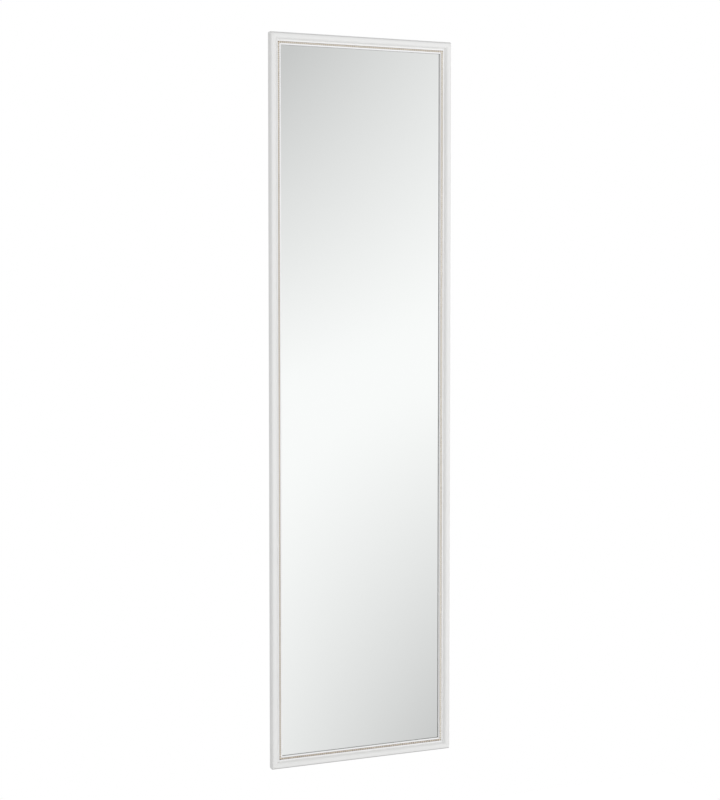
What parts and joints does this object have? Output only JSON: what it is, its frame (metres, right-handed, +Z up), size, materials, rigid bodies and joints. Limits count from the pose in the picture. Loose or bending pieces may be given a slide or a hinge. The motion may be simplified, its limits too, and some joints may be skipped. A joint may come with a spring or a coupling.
{
  "type": "over the door mirror",
  "caption": "Tall narrow wall mirror in a white moulded frame with a beaded inner edge, hung over a door's top edge on sliding steel hangers.",
  "frame": {"origin": "on the door's top edge: midway between the two hangers, in the plane of the door's face that the bumpers rest on, at the underside of the hangers' seat pads with the hangers pushed down", "axes": "+Z up along the height of the mirror, -Y out of the front of the glass, +Y into the door, +X to the right as seen from the front"},
  "size_m": [0.333, 0.0711, 1.2474],
  "materials": {
    "white_paint": "satin white paint on wood",
    "ivory_bead": "ivory paint with brown-gold wash in the gaps",
    "silvered_glass": "clear float glass, silvered on its back",
    "card": "uncoated card",
    "hardboard": "raw hardboard",
    "zinc_steel": "bright zinc plate",
    "rubber": "matte black rubber",
    "pad": "fine closed-cell foam"
  },
  "bodies": {
    "frame": {"top_rail": "white_paint", "bottom_rail": "white_paint", "left_stile": "white_paint", "right_stile": "white_paint", "top_beading": "ivory_bead", "bottom_beading": "ivory_bead", "left_beading": "ivory_bead", "right_beading": "ivory_bead", "mirror_glass": "silvered_glass", "liner_sheet": "card", "backing_board": "hardboard", "top_left_corner_nail": "zinc_steel", "top_right_corner_nail": "zinc_steel", "bottom_left_corner_nail": "zinc_steel", "bottom_right_corner_nail": "zinc_steel", "left_glazing_point_1": "zinc_steel", "left_glazing_point_2": "zinc_steel", "left_glazing_point_3": "zinc_steel", "left_glazing_point_4": "zinc_steel", "left_glazing_point_5": "zinc_steel", "left_glazing_point_6": "zinc_steel", "right_glazing_point_1": "zinc_steel", "right_glazing_point_2": "zinc_steel", "right_glazing_point_3": "zinc_steel", "right_glazing_point_4": "zinc_steel", "right_glazing_point_5": "zinc_steel", "right_glazing_point_6": "zinc_steel", "top_glazing_point_1": "zinc_steel", "top_glazing_point_2": "zinc_steel", "bottom_glazing_point_1": "zinc_steel", "bottom_glazing_point_2": "zinc_steel", "top_left_bumper": "rubber", "top_right_bumper": "rubber", "bottom_left_bumper": "rubber", "bottom_right_bumper": "rubber", "left_hanger_sleeve": "zinc_steel", "right_hanger_sleeve": "zinc_steel", "left_sleeve_screw_1": "zinc_steel", "left_sleeve_screw_2": "zinc_steel", "right_sleeve_screw_1": "zinc_steel", "right_sleeve_screw_2": "zinc_steel"},
    "left_hanger": {"left_hanger_strap": "zinc_steel", "left_seat_pad": "pad", "left_lip_pad": "pad"},
    "right_hanger": {"right_hanger_strap": "zinc_steel", "right_seat_pad": "pad", "right_lip_pad": "pad"},
    "left_lock": {"left_lock_screw": "zinc_steel"},
    "right_lock": {"right_lock_screw": "zinc_steel"}
  },
  "joints": [
    {"name": "left_hanger_slide", "type": "slide", "parent": "frame", "child": "left_hanger", "axis": [0, 0, 1], "range_m": [0, 0.1]},
    {"name": "right_hanger_slide", "type": "slide", "parent": "frame", "child": "right_hanger", "axis": [0, 0, 1], "range_m": [0, 0.1]},
    {"name": "left_lock_turn", "type": "hinge", "parent": "frame", "child": "left_lock", "pos_m": [-0.0915, -0.002, -0.02599], "axis": [0, 1, 0], "range_deg": [0, 360]},
    {"name": "right_lock_turn", "type": "hinge", "parent": "frame", "child": "right_lock", "pos_m": [0.0915, -0.002, -0.02599], "axis": [0, 1, 0], "range_deg": [0, 360]}
  ]
}
